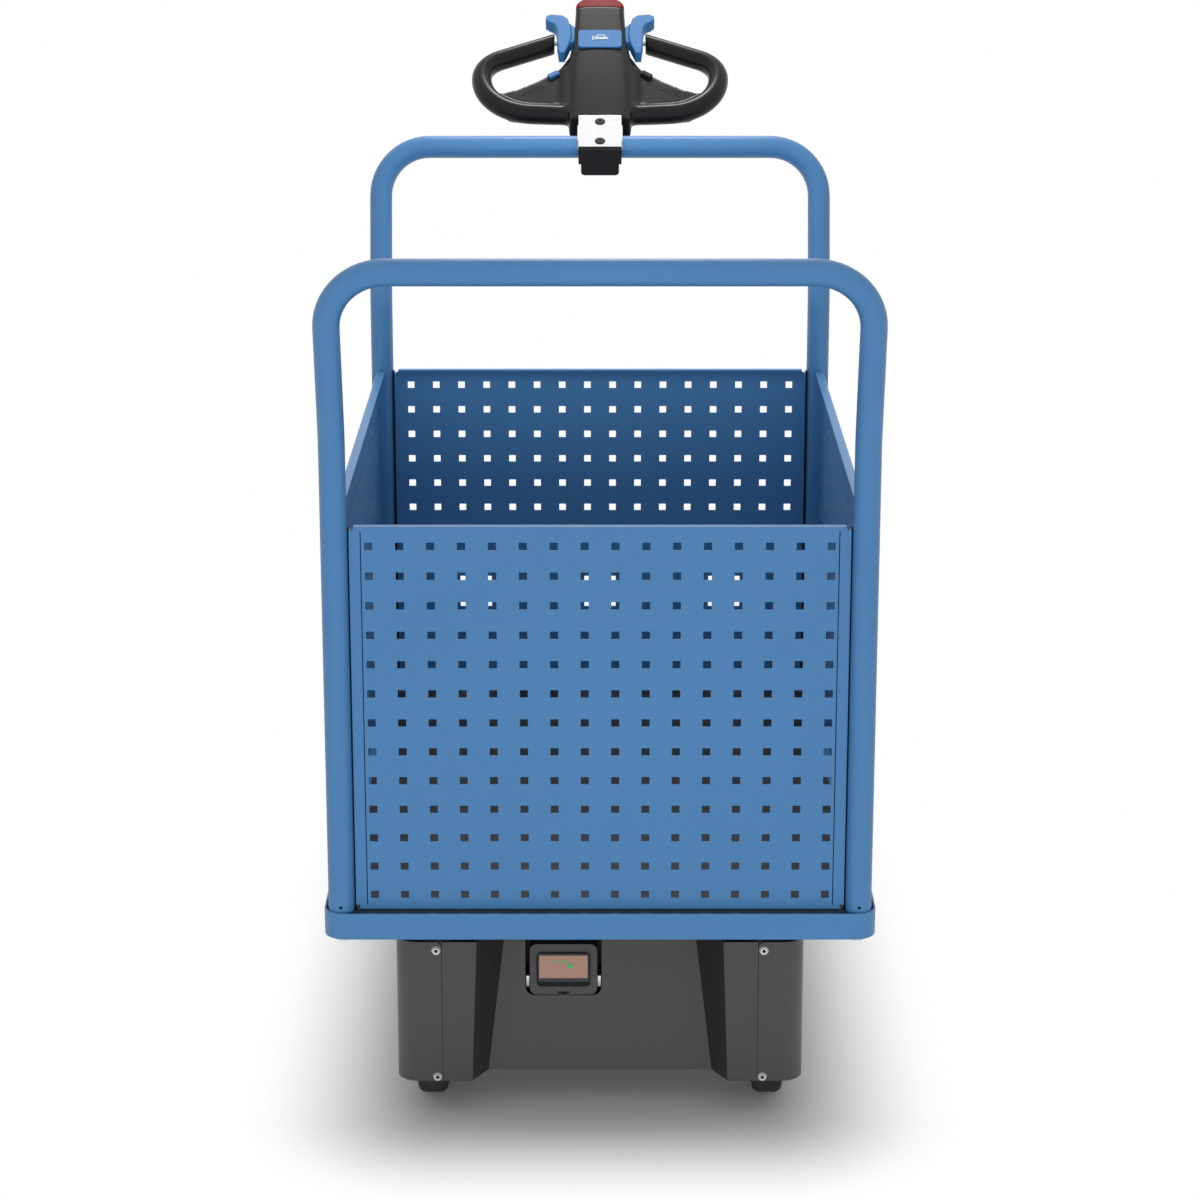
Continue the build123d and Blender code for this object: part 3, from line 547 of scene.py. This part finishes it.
# Battery display: a copper tinted film in a grey frame, in a black bezel; its deeper band below is painted
# shade.
# Five charge lamps and a button have their glow painted into a bright green, and a notch below releases
# the pack.
display_film = Finish("display_film", Coat_Weight=0.3, Coat_Roughness=0.15)
tint = display_film.noise(40, 3)
display_film.set(
    Base_Color=display_film.mix(tint, rgb(172, 132, 114), rgb(180, 140, 122)),
    Roughness=0.32 + tint * 0.1,
)
softened("battery_display", 0.0003, display_film.material, segments=1)
DISPLAY_T = 0.001
panel_up = Vector((0, 0.157, 0.988)).normalized()
panel_out = Vector((0, -panel_up.z, panel_up.y))
display_low, display_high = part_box("battery_display")
display_mid = (display_low + display_high) / 2 + panel_out * DISPLAY_T / 2


def on_panel(x, y, n):
    """A point on the leaning panel, in millimetres from the middle of the display's face."""
    return display_mid + Vector((x / 1000, 0, 0)) + panel_up * (y / 1000) + panel_out * (n / 1000)


def behind(depth):
    """The panel's places, sunk below the display's face."""
    return lambda x, y, n: on_panel(x, y, n - depth)


def rounded(width, height, radius, middle_y=0.0, steps=6):
    """A rectangle with round corners, as points."""
    points = []
    for k, (sx, sy) in enumerate(((1, 1), (-1, 1), (-1, -1), (1, -1))):
        cx = sx * (width / 2 - radius)
        cy = middle_y + sy * (height / 2 - radius)
        for step in range(steps + 1):
            turn = math.radians(90 * (k + step / steps))
            points.append((cx + radius * math.cos(turn), cy + radius * math.sin(turn)))
    return points


black_bezel_and_painted_shade = Finish("black_bezel_and_painted_shade", Specular_IOR_Level=0.2)
black_bezel_and_painted_shade.set(
    Base_Color=black_bezel_and_painted_shade.mix(black_bezel_and_painted_shade.noise(200), rgb(8, 8, 9), rgb(13, 13, 14)),
    Roughness=0.28 + black_bezel_and_painted_shade.noise(90, 3) * 0.12,
)
window = rounded(63.4, 30.4, 0.6)
# painted shade: the bezel reaches further below the window, a black band standing for the shade under the
# display
bezel = slab("bezel", rounded(68.6, 44.4, 5, -4.0), 0.9, behind(1.0), hole=window, edge=0.4)
added("display_bezel", bezel, black_bezel_and_painted_shade.material)
sill_grey = grained_plastic("sill_plastic", (54, 60, 64), 1800, 0.1)
sill = slab("sill", rounded(66.2, 37.1, 2.5, -1.15), 0.5, behind(0.4), hole=window, edge=0.2)
added("display_sill", sill, sill_grey)
NOTCH_HALF = 9.0
NOTCH_Y = -33.9
NOTCH_DEPTH = 3.2
NOTCH_STEPS = 12
notch = []
for step in range(NOTCH_STEPS + 1):
    dip = NOTCH_DEPTH * math.sin(math.pi * step / NOTCH_STEPS) ** 0.6
    notch.append((NOTCH_HALF * (2 * step / NOTCH_STEPS - 1), NOTCH_Y - dip))
added("release_notch", slab("notch", notch, 0.5, behind(4.9)), black_rubber_and_painted_shade)
LAMP_ROW = (-13.5, 7.2)
LAMP_PITCH = 4.5
BUTTON_AT = (8.6, 1.2)
CHARGE_LAMP = Fixing(head=1.45, crown=1.2, height=0.35, washer=1.5, washer_t=0.2, socket=0.3)
CHARGE_BUTTON = Fixing(head=3.1, crown=2.6, height=0.6, washer=3.2, washer_t=0.3, socket=0.6)
# painted glow: the lamps give no light; their lit look is painted into a bright green
painted_glow_green = Finish("lamp_green", Coat_Weight=0.3)
painted_glow_green.set(
    Base_Color=painted_glow_green.mix(painted_glow_green.noise(800), rgb(44, 178, 84), rgb(70, 205, 108)),
    Roughness=0.25 + painted_glow_green.noise(400) * 0.1,
)
green = painted_glow_green.material
lamps = [(on_panel(LAMP_ROW[0] + LAMP_PITCH * i, LAMP_ROW[1], 0), panel_out) for i in range(5)]
fixings("charge_lamps", button_head, lamps, CHARGE_LAMP, green, green)
button = [(on_panel(*BUTTON_AT, 0), panel_out)]
fixings("charge_button", button_head, button, CHARGE_BUTTON, green, green)

# Drive wheels: cast aluminium motor hubs with a ring of screws and solid rubber tyres pressed on.
# They turn on plated stub axles inside the covers.
cast_hub = Finish("cast_hub", Metallic=1.0)
sand = cast_hub.noise(420, 4, 0.6)
cast_hub.set(
    Base_Color=cast_hub.mix(sand, rgb(140, 141, 143), rgb(172, 173, 174)),
    Roughness=0.34 + sand * 0.2,
    Normal=cast_hub.bump(sand, 0.2, 0.0004),
)


def tyre_rubber(name, tyre):
    """Solid rubber, greyed with floor dust on the tread of a tyre that stands on the floor."""
    low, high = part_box(tyre)
    radius = high.z / 2
    axle_y = (low.y + high.y) / 2
    rubber = Finish(name, Specular_IOR_Level=0.35)
    _, y, z = rubber.axes()
    reach = ((y - axle_y) * (y - axle_y) + (z - radius) * (z - radius)) ** 0.5
    dust = reach.over(radius - 0.006, radius - 0.001) * rubber.noise(50, 5, 0.65).over(0.3, 0.7)
    rubber.set(
        Base_Color=rubber.mix(dust * 0.4, rgb(34, 34, 35), rgb(84, 81, 78)),
        Roughness=0.62 + dust * 0.2 + rubber.noise(300) * 0.08,
        Normal=rubber.bump(rubber.noise(700, 3), 0.25, 0.0004),
    )
    return rubber.material


HUB_RING_R = 0.043
HUB_RING_IN = 0.004
HUB_SCREWS = 6
HUB_SCREW = Fixing(head=4.5, crown=3.2, height=2.2, washer=4.6, washer_t=0.6, socket=1.8)
drive_rubber = tyre_rubber("drive_rubber", "drive_tyre_left")
for side, out in (("left", -1), ("right", 1)):
    wheel = "drive_wheel_" + side
    softened("drive_tyre_" + side, 0.002, drive_rubber, wheel, angle=30)
    softened("drive_hub_" + side, 0.001, cast_hub.material, wheel)
    painted(zinc, "drive_axle_" + side)
    low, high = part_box("drive_hub_" + side)
    middle = (low + high) / 2
    face_x = (high.x if out > 0 else low.x) - out * HUB_RING_IN
    ring = []
    for step in range(HUB_SCREWS):
        turn = math.tau * (step + 0.5) / HUB_SCREWS
        y = middle.y + HUB_RING_R * math.cos(turn)
        z = middle.z + HUB_RING_R * math.sin(turn)
        ring.append((Vector((face_x, y, z)), (out, 0, 0)))
    screws = "hub_screws_" + side
    # painted shade: each hub screw's socket is a black disc
    fixings(screws, button_head, ring, HUB_SCREW, zinc, black_rubber_and_painted_shade, wheel)

# Swivel casters: pressed forks and plates in bright zinc, nylon wheel centres with rubber tyres,
# each plate held to the rails by four bolts.
PLATE_BOLT_IN = (0.016, 0.018)
PLATE_BOLT_DROP = 0.006
PLATE_BOLT = Fixing(head=8.5, crown=7.8, height=5.5, washer=10.2, washer_t=2.0, socket=1.5)
rim_nylon = grained_plastic("caster_nylon", (92, 93, 96), 900, 0.1)
caster_rubber = tyre_rubber("caster_rubber", "caster_tyre_left")
for side in ("left", "right"):
    fork = "caster_swivel_" + side
    wheel = "caster_wheel_" + side
    softened("caster_plate_" + side, 0.001, zinc)
    for piece in ("fork", "bolt", "brake"):
        softened("caster_" + piece + "_" + side, 0.001, zinc, fork)
    softened("caster_tyre_" + side, 0.002, caster_rubber, wheel, angle=30)
    softened("caster_rim_" + side, 0.001, rim_nylon, wheel)
    low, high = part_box("caster_plate_" + side)
    bolt_xs = (low.x + PLATE_BOLT_IN[0], high.x - PLATE_BOLT_IN[0])
    bolt_ys = (low.y + PLATE_BOLT_IN[1], high.y - PLATE_BOLT_IN[1])
    bolt_z = high.z - PLATE_BOLT_DROP
    corners = [(Vector((x, y, bolt_z)), (0, 0, -1)) for x in bolt_xs for y in bolt_ys]
    fixings("plate_bolts_" + side, hex_head, corners, PLATE_BOLT, zinc, zinc)

# Head clamp: a black moulded block in two halves round the bar, under a bright plated steel bracket
# held by two black button-head screws, each on a black disc of painted shadow standing for a dimple.
clamp_black = grained_plastic("clamp_plastic", (28, 28, 30), 1600, 0.15)
softened("clamp_block", 0.0012, clamp_black, segments=3)
softened("clamp_foot", 0.0015, clamp_black, segments=3)
chrome = Finish("chrome_plate", Metallic=1.0)
haze = chrome.noise(160, 4)
chrome.set(
    Base_Color=chrome.mix(haze, rgb(240, 241, 243), rgb(250, 250, 250)),
    Roughness=0.08 + haze * 0.08,
)
softened("head_bracket", 0.0008, chrome.material, segments=3)
HEAD_TILT = math.radians(33)
bar_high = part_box("handle_operator_end")[1]
bar_mid = Vector((0, bar_high.y - TUBE_R, bar_high.z - TUBE_R))
head_along = Vector((0, math.cos(HEAD_TILT), math.sin(HEAD_TILT)))
head_up = Vector((0, -math.sin(HEAD_TILT), math.cos(HEAD_TILT)))


def on_head(x, v, w):
    """A point on the control head, in millimetres: across, along from the bar's middle, and up."""
    return bar_mid + (Vector((x, 0, 0)) + head_along * v + head_up * w) / 1000


def from_head(point):
    """The same three lengths for a point in the truck's frame."""
    reach = (point - bar_mid) * 1000
    return reach.x, reach.dot(head_along), reach.dot(head_up)


BRACKET_TOP = 28
BRACKET_SCREWS_AT = (-19, 25)
DIMPLE_SHADOW = Fixing(head=7.6, crown=7.4, height=0.5, washer=7.8, washer_t=0.4, socket=7.0)
BRACKET_SCREW = Fixing(head=6.6, crown=4.8, height=2.2, washer=6.8, washer_t=0.8, socket=3.4)
oxide = Finish("black_oxide", Metallic=1.0)
oxide.set(
    Base_Color=oxide.mix(oxide.noise(300, 3), rgb(58, 58, 60), rgb(84, 84, 86)),
    Roughness=0.26 + oxide.noise(180, 3) * 0.12,
)
spots = [(on_head(0, v, BRACKET_TOP), head_up) for v in BRACKET_SCREWS_AT]
# painted shadow: a flat black disc under each screw stands for the shade in its dimple, and the black
# socket disc for the shade in its hole
fixings("bracket_dimple_painted_shadows", button_head, spots, DIMPLE_SHADOW, black_rubber_and_painted_shade, black_rubber_and_painted_shade)
fixings("bracket_screws", button_head, spots, BRACKET_SCREW, oxide.material, black_rubber_and_painted_shade)


# Control head shell: spine, grip loops and webs are one moulding with flowing fillets, widest at
# the shoulders where the webs meet the spine, in dark grey plastic with a soft grain.
def fused(name, meshes, voxel):
    """One closed skin round several meshes that meet, as a piece."""
    joined = bmesh.new()
    for mesh in meshes:
        joined.from_mesh(mesh)
    bmesh.ops.remove_doubles(joined, verts=joined.verts, dist=SAME_POINT)
    skin = bpy.data.meshes.new(name)
    joined.to_mesh(skin)
    joined.free()
    piece = bpy.data.objects.new(name, skin)
    bpy.context.collection.objects.link(piece)
    fuse = piece.modifiers.new("fuse", "REMESH")
    fuse.mode = "VOXEL"
    fuse.voxel_size = voxel
    fuse.use_smooth_shade = True
    return finished(piece)


def eased(piece, rounds, where=""):
    """Draws the piece's joins and edges into fillets, all over or in one vertex group."""
    flow = piece.modifiers.new("flow", "SMOOTH")
    flow.factor = 0.5
    flow.iterations = rounds
    flow.vertex_group = where


SHELL_NODES = ("head_spine", "head_loop_left", "head_loop_right")
SHOULDER_X = (47, 14, 12)  # millimetres: middle, half width and fade
SHOULDER_V = (112, 62, 25)


def past(value, middle, half, fade):
    """How far a value is past a band, in lengths of its fade."""
    return max(abs(value - middle) - half, 0) / fade


head_grey = grained_plastic("head_plastic", (25, 25, 26), 1700, 0.08, roughness=0.16, gloss=0.17)
head_shell = fused("head_shell", [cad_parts[node].data for node in SHELL_NODES], 0.0016)
shoulder = head_shell.vertex_groups.new(name="shoulder")
for point in head_shell.data.vertices:
    x, v, _ = from_head(point.co)
    reach = past(abs(x), *SHOULDER_X) + past(v, *SHOULDER_V)
    if reach < 1:
        shoulder.add([point.index], 1 - reach, "REPLACE")
eased(head_shell, 14)
eased(head_shell, 70, "shoulder")
finished(head_shell, head_grey)
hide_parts(*SHELL_NODES)
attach(head_shell, "chassis")


# Moulded marks on the head: the parting line of each web's inlay, and two raised ovals for the
# thumb, all as fine beads.
def bead(name, runs, radius, material, closed=False):
    """Round beads of a radius in millimetres through lists of points, as one piece."""
    curve = bpy.data.curves.new(name, "CURVE")
    curve.dimensions = "3D"
    curve.bevel_depth = radius / 1000
    curve.bevel_resolution = 2
    curve.use_fill_caps = True
    for points in runs:
        spline = curve.splines.new("POLY")
        spline.points.add(len(points) - 1)
        for knot, point in zip(spline.points, points):
            knot.co = (*point, 1)
        spline.use_cyclic_u = closed
    drawn = bpy.data.objects.new(name, curve)
    bpy.context.collection.objects.link(drawn)
    bpy.context.view_layer.update()
    seen = drawn.evaluated_get(bpy.context.evaluated_depsgraph_get())
    mesh = bpy.data.meshes.new_from_object(seen)
    bpy.data.objects.remove(drawn)
    return added(name, mesh, material)


WEB_TOP = 9.0
INLAY_EDGE = ((50, 88.5), (80, 90), (108, 93.5), (128, 99), (146, 110))
OVALS_AT = ((92, 125), (110, 114))
OVAL_REACH = (8.5, 3.4)
OVAL_LEAN = math.radians(-32)
OVAL_STEPS = 20
OVAL_LIFT = 0.1
seams = []
ovals = []
for s in (-1, 1):
    seams.append([on_head(s * x, v, WEB_TOP) for x, v in INLAY_EDGE])
    for x, v in OVALS_AT:
        loop = []
        for step in range(OVAL_STEPS):
            turn = math.tau * step / OVAL_STEPS
            a, b = OVAL_REACH[0] * math.cos(turn), OVAL_REACH[1] * math.sin(turn)
            across = x + a * math.cos(OVAL_LEAN) - b * math.sin(OVAL_LEAN)
            along = v + a * math.sin(OVAL_LEAN) + b * math.cos(OVAL_LEAN)
            loop.append(on_head(s * across, along, WEB_TOP + OVAL_LIFT))
        ovals.append(loop)
bead("inlay_seams", seams, 0.6, black_rubber_and_painted_shade)
bead("thumb_ovals", ovals, 0.4, head_grey, closed=True)


# Thumb levers: blue gloss mouldings, one on each side of the spine, clipped on a plated shaft.
# Each has a broad root that lies against the spine and flows into its paddle.
def gloss_plastic(name, colour, shine):
    gloss = Finish(name, Coat_Weight=0.03, Coat_Roughness=0.2, Specular_IOR_Level=shine)
    gloss.set(
        Base_Color=gloss.mix(gloss.noise(60, 3), rgb(*colour, 0.93), rgb(*colour)),
        Roughness=0.32 + gloss.noise(220, 3) * 0.12,
        Normal=gloss.bump(gloss.noise(1300), 0.05, 0.0003),
    )
    return gloss.material


control_blue = gloss_plastic("control_blue", (50, 114, 172), 0.18)
LEVER_ROOT = (
    (38.0, 226.0), (46.5, 221.0), (46.0, 237.0), (47.5, 256.0), (51.0, 270.0), (45.0, 268.0), (38.0, 260.0)
)
ROOT_LOW = 1.5
ROOT_T = 16
for side, s in (("left", -1), ("right", 1)):
    node = "thumb_lever_" + side
    root = slab("root", LEVER_ROOT, ROOT_T, lambda x, v, n: on_head(s * x, v, ROOT_LOW + n), edge=1.2)
    lever = fused(node + "_finished", [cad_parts[node].data, root], 0.0009)
    eased(lever, 12)
    finished(lever, control_blue)
    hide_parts(node)
    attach(lever, "chassis")
painted(zinc, "lever_shafts")

# Buttons and rockers: gloss mouldings in blue, red and black with softly rounded edges, snapped
# into the shell. The horn button has a plain white horn, pad printed, and one rocker has ribs.
control_red = gloss_plastic("control_red", (128, 8, 16), 0.12)
softened("horn_button", 0.001, control_blue, segments=3)
softened("belly_button", 0.003, control_red, segments=4)
softened("rocker_left", 0.0012, control_blue, segments=3)
softened("rocker_right", 0.0012, clamp_black, segments=3)
print_white = Finish("print_white")
print_white.set(
    Base_Color=print_white.mix(print_white.noise(500), rgb(232, 232, 230), rgb(246, 246, 244)),
    Roughness=0.4 + print_white.noise(300) * 0.1,
)
HORN_TUBE = (
    (-11.5, -2.6), (-11.5, 2.6), (-7.5, 1.2), (10.0, 0.6), (12.0, 1.2), (12.0, -1.2), (10.0, -0.6),
    (-7.5, -1.2), (-11.5, -2.6),
)
HORN_LOOP = ((-5.5, 0.8), (-4.5, 4.4), (-2.5, 5.4), (5.0, 5.4), (7.0, 4.4), (8.0, 0.8))
HORN_AT = 222
HORN_TALL = 1.35
HORN_TOP = 26.6
horn = [
    [on_head(x, HORN_AT + y * HORN_TALL, HORN_TOP) for x, y in stroke] for stroke in (HORN_TUBE, HORN_LOOP)
]
bead("horn_sign", horn, 0.8, print_white.material)
ROCKER_AT = (71, 153)
ROCKER_TOP = 14.1
ROCKER_LEAN = math.radians(-38)
RIB_PITCH = 3.2
RIB_HALF = 3.4
ribs = []
for step in range(-2, 3):
    ends = []
    for half in (-RIB_HALF, RIB_HALF):
        x = ROCKER_AT[0] + RIB_PITCH * step * math.cos(ROCKER_LEAN) - half * math.sin(ROCKER_LEAN)
        v = ROCKER_AT[1] + RIB_PITCH * step * math.sin(ROCKER_LEAN) + half * math.cos(ROCKER_LEAN)
        ends.append(on_head(x, v, ROCKER_TOP))
    ribs.append(ends)
bead("rocker_ribs", ribs, 0.7, clamp_black)


# Studio floor: pale paper under the truck that fades into plain white a little way from the
# housing. The fade is only for what the camera and mirrors see, and the shadow stays.
def seen_directly(shading):
    """1 for rays from the camera and for mirror or glass rays, 0 for the rays that light things."""
    rays = shading.node("ShaderNodeLightPath").socket.node.outputs
    kinds = ("Is Camera Ray", "Is Glossy Ray", "Is Transmission Ray")
    camera_ray, glossy_ray, glass_ray = (Wire(shading, rays[kind]) for kind in kinds)
    return camera_ray.math("MAXIMUM", glossy_ray).math("MAXIMUM", glass_ray)


FLOOR_REACH = 40.0
FADE = 0.27
floor_mesh = bpy.data.meshes.new("studio_floor")
ends = (-FLOOR_REACH, FLOOR_REACH)
floor_corners = [(ends[i], ends[j], 0) for i, j in ((0, 0), (1, 0), (1, 1), (0, 1))]
floor_mesh.from_pydata(floor_corners, [], [(0, 1, 2, 3)])
floor = bpy.data.objects.new("studio_floor", floor_mesh)
bpy.context.collection.objects.link(floor)
paper = Finish("studio_paper", Roughness=0.9, Specular_IOR_Level=0.1)
paper.set(Base_Color=paper.mix(paper.noise(2), (0.74, 0.74, 0.74, 1), (0.76, 0.76, 0.76, 1)))
floor_x, floor_y, _ = paper.axes()
half_length = rim_mid_y - front_low.y
beside = (floor_x.math("ABSOLUTE") - front_high.x).math("MAXIMUM", 0.0)
beyond = ((floor_y - rim_mid_y).math("ABSOLUTE") - half_length).math("MAXIMUM", 0.0)
away = (beside * beside + beyond * beyond) ** 0.5
white = paper.node("ShaderNodeEmission", None, {"Color": (1, 1, 1, 1), "Strength": 1.0})
plain = Wire(paper, paper.shader.outputs[0])
share = seen_directly(paper) * away.over(0.0, FADE)
blend = paper.node("ShaderNodeMixShader", None, {0: share, 1: plain, 2: white})
paper.feed(paper.tree.nodes["Material Output"].inputs["Surface"], blend)
floor_mesh.materials.append(paper.material)

# Studio light: an even white surround and five soft lamps, four of them unseen in mirrors.
# The front lamp stands low, so that the near wall shades the inside of the far one.
SURROUND = 0.42
world = bpy.data.worlds.new("studio_white")
world.use_nodes = True
bpy.context.scene.world = world
sky = Shading(world.node_tree)
background = world.node_tree.nodes["Background"]
background.inputs["Color"].default_value = (1, 1, 1, 1)
sky.feed(background.inputs["Strength"], SURROUND + seen_directly(sky) * (1 - SURROUND))
Lamp = namedtuple("Lamp", "name size power place target mirrored")
LAMPS = (
    Lamp("top_lamp", 6.0, 44, (0.0, 0.9, 5.2), (0.0, 0.9, 0.0), False),
    Lamp("front_lamp", 1.6, 100, (0.0, -5.4, 0.9), (0.0, 0.2, 0.7), False),
    Lamp("far_lamp", 1.0, 4, (0.0, 0.55, 2.1), (0.0, 0.4, 1.1), False),
    Lamp("wall_lamp", 0.3, 0.8, (0.0, 0.0, 1.3), (0.0, 0.4, 0.9), False),
    Lamp("gloss_lamp", 0.6, 12, (0.0, 1.5, 2.7), (0.0, 0.6, 1.3), True),
)
for lamp in LAMPS:
    light = bpy.data.lights.new(lamp.name, "AREA")
    light.size = lamp.size
    light.energy = lamp.power
    holder = bpy.data.objects.new(lamp.name, light)
    holder.location = lamp.place
    holder.visible_glossy = lamp.mirrored
    holder.visible_camera = False
    aim = Vector(lamp.target) - Vector(lamp.place)
    holder.rotation_euler = aim.to_track_quat("-Z", "Y").to_euler()
    bpy.context.collection.objects.link(holder)

# Camera: a long lens at eye height above the handles, in line with the truck's middle.
# It looks down on the drive end.
EYE_BACK = 4.3955
EYE_UP = 1.8046
LOOK_DOWN = 15.736
camera = bpy.data.cameras.new("camera")
camera.lens = 98.82
eye = bpy.data.objects.new("camera", camera)
eye.location = (0.0, rim_mid_y - EYE_BACK, EYE_UP)
eye.rotation_euler = (math.radians(90 - LOOK_DOWN), 0, 0)
bpy.context.collection.objects.link(eye)
bpy.context.scene.camera = eye
bpy.context.scene.view_settings.view_transform = "Standard"
